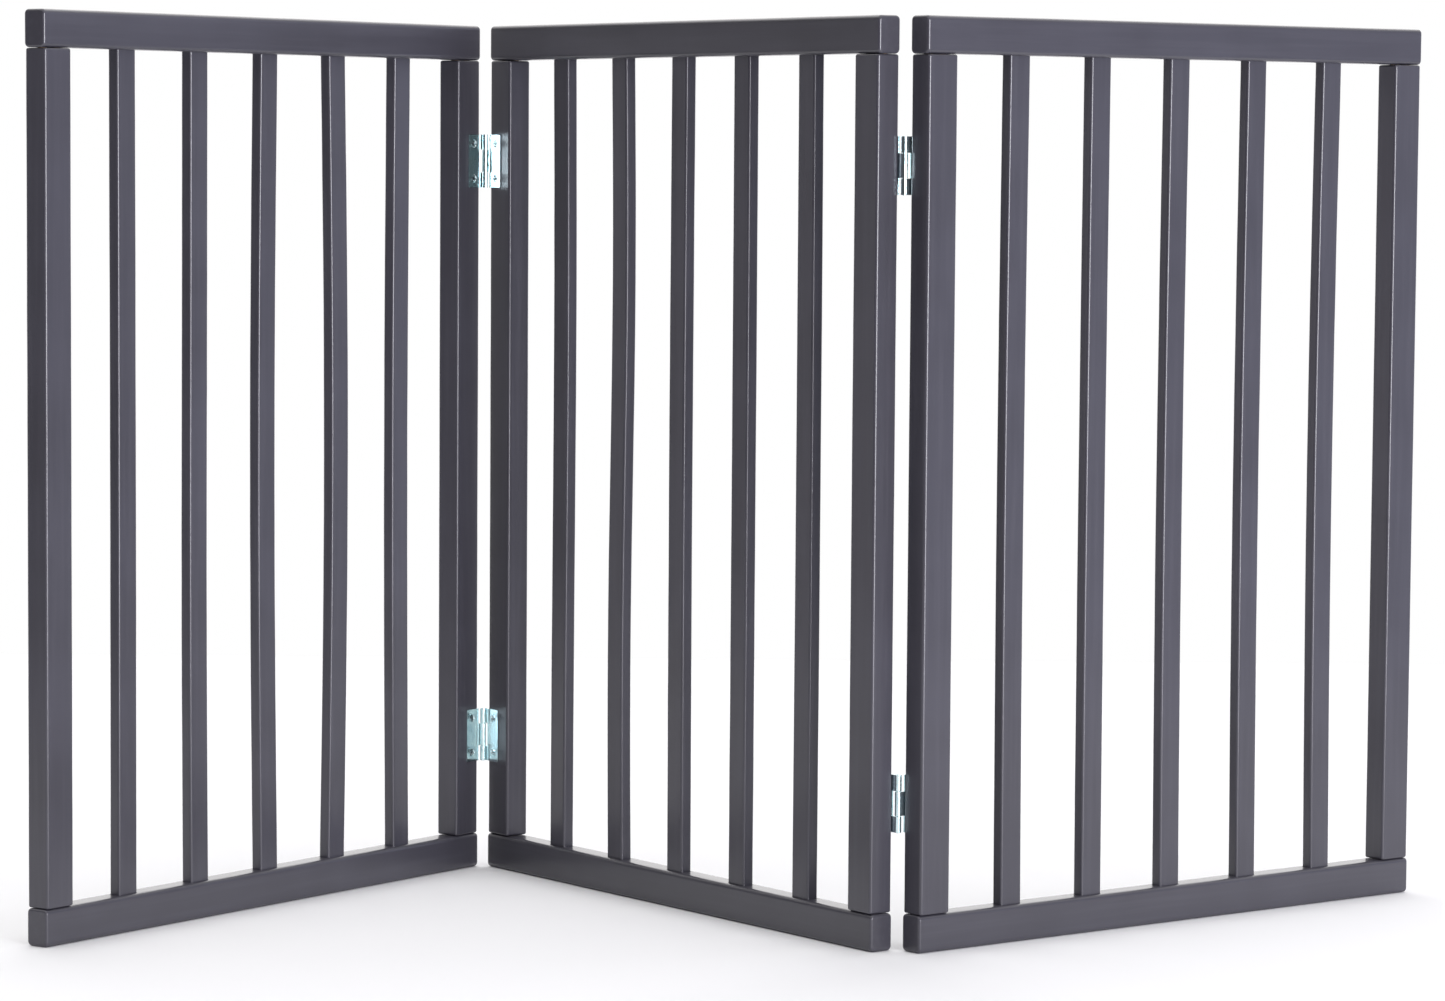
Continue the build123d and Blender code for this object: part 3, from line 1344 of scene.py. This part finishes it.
@dataclass
class Hinge:
    """One butt hinge: two leaves, their screws and the pin that joins them."""

    fold: Fold
    level: Level
    face: Face
    leaves: dict[str, End]
    outer: str
    standings: dict[str, Standing]
    patterns: dict[str, bpy.types.Object]
    plates: dict[str, bpy.types.Material]
    number: int

    def _leaf_matrix(self, panel: str) -> Matrix:
        """Work out where a leaf stands.

        Args:
            panel: Name of the panel that it is screwed to.

        Returns:
            From the leaf's own axes to the row frame.
        """
        end, face = self.leaves[panel], self.face
        standing = self.standings[panel].matrix
        pin_x = -IRON.fold_gap / 2 if end is End.LEFT else TIMBER.panel_width + IRON.fold_gap / 2
        pin_y = -IRON.barrel_radius if face is Face.FRONT else TIMBER.thickness + IRON.barrel_radius
        low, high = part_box(f"{self.fold.value}_{self.level.value}_leaf_on_{panel}")
        along = Vector((end.value, 0, 0))
        inward = Vector((0, face.value, 0))
        axes = Matrix((along, inward, along.cross(inward))).transposed().to_4x4()
        axes.translation = Vector((pin_x, pin_y, (low.z + high.z) / 2))
        return standing @ axes

    def build(self) -> list[bpy.types.Object]:
        """Copy, place and dress the hinge's pieces.

        Returns:
            The pieces.
        """
        stem = f"{self.fold.value}_{self.level.value}"
        pieces = []
        for panel in self.leaves:
            kind = Knuckles.OUTER if panel == self.outer else Knuckles.INNER
            matrix = self._leaf_matrix(panel)
            body = self.standings[panel].body
            leaf = copy_of(self.patterns[f"{kind.value}_leaf"], f"stamped_{stem}_leaf_on_{panel}")
            pieces.append(self._fit(leaf, matrix, body, f"{stem}_leaf_on_{panel}", "hinge_plate"))
            screws = [self._driven_screw(side, panel) for side in (-1, 1)]
            pair = join(screws)
            pair.name = pair.data.name = f"driven_{stem}_screws_on_{panel}"
            pieces.append(self._fit(pair, matrix, body, f"{stem}_screws_on_{panel}", "screw_steel"))
        pin = copy_of(self.patterns["pin"], f"turned_{stem}_pin")
        holder = self.standings[self.outer].body
        pieces.append(self._fit(pin, self._leaf_matrix(self.outer), holder, f"{stem}_pin", "pin_steel"))
        return pieces

    def _driven_screw(self, side: int, panel: str) -> bpy.types.Object:
        """Copy a screw to its hole, with its recess turned as it happened to stop.

        Args:
            side: -1 for the lower hole and 1 for the upper one.
            panel: Name of the panel that it is driven into.

        Returns:
            The screw.
        """
        screw = copy_of(self.patterns["screw"], f"screw_{side}")
        by_hinge, by_side, by_panel = SCREW_TURNS
        turn = math.radians(by_hinge * self.number + by_side * side + by_panel * len(panel))
        middle = Vector((IRON.screw_reach, 0, 0))
        lift = Matrix.Translation((0, 0, side * IRON.screw_spacing / 2))
        spin = Matrix.Translation(middle) @ Matrix.Rotation(turn, 4, "Y") @ Matrix.Translation(-middle)
        place(screw, lift @ spin)
        return screw

    def _fit(
        self, piece: bpy.types.Object, matrix: Matrix, body: str, node: str, slot: str
    ) -> bpy.types.Object:
        """Place a hinge piece and let it stand for its CAD node.

        Args:
            piece: The piece, in its leaf's axes.
            matrix: From those axes to the row frame.
            body: The body that it rides on.
            node: The node that it stands for.
            slot: The material slot of its finish.

        Returns:
            The piece.
        """
        mark_grain(piece, GrainRun.ALONG_Z, self.number)
        place(piece, matrix)
        smooth(piece, HINGE_SMOOTHING)
        dress(piece, self.plates[slot])
        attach(piece, body)
        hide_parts(node)
        log.info("%s: %d faces", piece.name, len(piece.data.polygons))
        return piece


# ---- The gate ---------------------------------------------------------------------------


@dataclass
class Gate:
    """The whole gate."""

    joinery: Joinery = field(default_factory=Joinery)
    smithy: Smithy = field(default_factory=Smithy)

    def build(self) -> list[bpy.types.Object]:
        """Build every panel and every hinge, and return all the pieces."""
        standings = stand_panels()
        return self._panels(standings) + self._hinges(standings)

    def _panels(self, standings: dict[str, Standing]) -> list[bpy.types.Object]:
        """Build the three panels.

        Args:
            standings: Where each panel stands.

        Returns:
            Their pieces.
        """
        patterns = {"rail": self.joinery.rail(), "post": self.joinery.post(), "slat": self.joinery.slat()}
        paint = SatinPaint().make()
        beech = BareBeech().make()
        pieces: list[bpy.types.Object] = []
        for name, standing in standings.items():
            panel = Panel(standing, BOWS[name], self.joinery, patterns, paint, beech, len(pieces))
            pieces += panel.build()
        scrap(*patterns.values())
        return pieces

    def _hinges(self, standings: dict[str, Standing]) -> list[bpy.types.Object]:
        """Build the four hinges.

        Args:
            standings: Where each panel stands.

        Returns:
            Their pieces.
        """
        patterns = {
            "outer_leaf": self.smithy.leaf(Knuckles.OUTER),
            "inner_leaf": self.smithy.leaf(Knuckles.INNER),
            "pin": self.smithy.pin(),
            "screw": self.smithy.screw(),
        }
        plates = {
            "hinge_plate": ZincPlate("zinc_plate").make(),
            "pin_steel": ZincPlate("zinc_wire", smoothest=0.1, dullest=0.2).make(),
            # The screws' plating gets darker colours than the leaves' as painted shade, standing in for the
            # shade in their sunk heads and cross recesses.
            "screw_steel": ZincPlate(
                "zinc_screw", bright=(0.46, 0.55, 0.56), tint=(0.34, 0.44, 0.46), smoothest=0.14, dullest=0.26
            ).make(),
        }
        left = {"left": End.RIGHT, "middle": End.LEFT}
        right = {"middle": End.RIGHT, "right": End.LEFT}
        plan = (
            (Fold.LEFT, Level.UPPER, Face.FRONT, left, "left"),
            (Fold.LEFT, Level.LOWER, Face.FRONT, left, "middle"),
            (Fold.RIGHT, Level.UPPER, Face.BACK, right, "right"),
            (Fold.RIGHT, Level.LOWER, Face.BACK, right, "middle"),
        )
        pieces: list[bpy.types.Object] = []
        for number, (fold, level, face, leaves, outer) in enumerate(plan, start=1):
            hinge = Hinge(fold, level, face, leaves, outer, standings, patterns, plates, number)
            pieces += hinge.build()
        scrap(*patterns.values())
        return pieces


# ---- The studio -------------------------------------------------------------------------


@dataclass(frozen=True)
class Bank:
    """A bank of light at a great distance, on one side of the room.

    toward points at the bank's middle, and start and end are how far a direction must lean that
    way for the bank to begin and to be full.
    """

    toward: tuple[float, float, float]
    start: float
    end: float
    colour: tuple[float, float, float]
    strength: float


@dataclass(frozen=True)
class Softbox:
    """A softbox that faces the middle of the gate."""

    name: str
    stand: tuple[float, float, float]
    size: tuple[float, float]
    watts: float
    colour: tuple[float, float, float]

    def build(self) -> None:
        """Stand the softbox in its place."""
        lamp = bpy.data.lights.new(self.name, "AREA")
        lamp.shape = "RECTANGLE"
        lamp.size, lamp.size_y = self.size
        lamp.energy = self.watts
        lamp.color = self.colour
        holder = bpy.data.objects.new(self.name, lamp)
        holder.location = self.stand
        aim = Vector((0, 0, TIMBER.gate_height / 2)) - Vector(self.stand)
        holder.rotation_euler = aim.to_track_quat("-Z", "Y").to_euler()
        bpy.context.scene.collection.objects.link(holder)


@dataclass
class Studio:
    """Pale floor, soft light and the camera.

    The lens's focal length is focal_units, in the units in which the frame is frame_width wide.
    """

    floor_reach: float = 3.2
    shade: Bank = Bank((0.0, 0.0, 1.0), -1.0, -0.9, (0.95, 0.95, 1.0), 0.10)
    ceiling: Bank = Bank((0.0, 0.0, 1.0), 0.35, 0.8, (1.0, 0.985, 0.97), 1.30)
    window: Bank = Bank((0.97, 0.242, 0.0), 0.75, 1.0, (0.72, 0.76, 1.0), 0.90)
    fill: Bank = Bank((-0.995, 0.087, -0.05), 0.986, 0.9975, (1.0, 0.95, 1.08), 1.70)
    sweep: Bank = Bank((0.0, 1.0, 0.0), 0.38, 0.7, (1.0, 0.985, 0.98), 1.50)
    backdrop: tuple[float, float, float] = (1.0, 1.0, 1.0)
    key: Softbox = Softbox("key_softbox", (2.5, -3.8, 0.45), (2.2, 1.4), 225.0, (0.94, 0.93, 1.0))
    camera_place: tuple[float, float, float] = (-0.0177, -3.2762, 0.5231)
    focal_units: float = 4778.9
    frame_width: float = 1445
    sensor_width: float = 36.0
    view_reach: float = 60.0
    pitch_down: float = 0.07348
    roll: float = 0.0072

    def build(self) -> None:
        """Set the stage, the light and the camera."""
        self._floor()
        self._light()
        self._camera()

    def _floor(self) -> None:
        """Lay a wide pale floor under the gate."""
        bpy.ops.object.select_all(action="DESELECT")
        bpy.ops.mesh.primitive_plane_add(size=self.floor_reach, location=(0, 0, CAD_BOUNDS[0][2]))
        floor = bpy.context.object
        floor.name = floor.data.name = "studio_floor"
        dress(floor, PaleFloor().make())

    def _light(self) -> None:
        """Light the gate from a ceiling, a window on its right, a fill on its left and a sweep behind.

        A weak light comes from every side, and a softbox stands in front. The camera sees the
        room as plain white.
        """
        world = bpy.data.worlds.new("pale_room")
        bpy.context.scene.world = world
        world.use_nodes = True
        nodes, links = world.node_tree.nodes, world.node_tree.links
        direction = nodes.new("ShaderNodeTexCoord").outputs["Generated"]
        total = None
        for bank in (self.shade, self.ceiling, self.window, self.fill, self.sweep):
            share = nodes.new("ShaderNodeVectorMath")
            share.operation = "DOT_PRODUCT"
            share.inputs[1].default_value = bank.toward
            links.new(direction, share.inputs[0])
            lean = nodes.new("ShaderNodeMapRange")
            lean.interpolation_type = "SMOOTHSTEP"
            lean.inputs["From Min"].default_value = bank.start
            lean.inputs["From Max"].default_value = bank.end
            lean.inputs["To Max"].default_value = bank.strength
            links.new(share.outputs["Value"], lean.inputs["Value"])
            light = nodes.new("ShaderNodeBackground")
            light.inputs["Color"].default_value = (*bank.colour, 1.0)
            links.new(lean.outputs["Result"], light.inputs["Strength"])
            if total is None:
                total = light.outputs["Background"]
                continue
            both = nodes.new("ShaderNodeAddShader")
            links.new(total, both.inputs[0])
            links.new(light.outputs["Background"], both.inputs[1])
            total = both.outputs["Shader"]
        seen = nodes.new("ShaderNodeLightPath")
        mix = nodes.new("ShaderNodeMixShader")
        white = nodes.new("ShaderNodeBackground")
        white.inputs["Color"].default_value = (*self.backdrop, 1.0)
        links.new(seen.outputs["Is Camera Ray"], mix.inputs["Fac"])
        links.new(total, mix.inputs[1])
        links.new(white.outputs["Background"], mix.inputs[2])
        links.new(mix.outputs["Shader"], nodes["World Output"].inputs["Surface"])
        self.key.build()

    def _camera(self) -> None:
        """Stand a long-lensed camera in front of the gate, below its top rail and looking slightly down."""
        lens = bpy.data.cameras.new("studio_camera")
        lens.sensor_width = self.sensor_width
        lens.lens = self.sensor_width * self.focal_units / self.frame_width
        lens.clip_end = self.view_reach
        camera = bpy.data.objects.new("studio_camera", lens)
        look = Matrix.Rotation(math.pi / 2 - self.pitch_down, 4, "X") @ Matrix.Rotation(self.roll, 4, "Z")
        camera.matrix_world = Matrix.Translation(self.camera_place) @ look
        bpy.context.scene.collection.objects.link(camera)
        bpy.context.scene.camera = camera
        bpy.context.scene.view_settings.view_transform = "Standard"


def main() -> None:
    """Build the gate and the studio."""
    logging.basicConfig(level=logging.INFO, format="%(name)s %(message)s")
    pieces = Gate().build()
    log.info("%d pieces, %d faces", len(pieces), sum(len(piece.data.polygons) for piece in pieces))
    Studio().build()


if __name__ == "__main__":
    main()
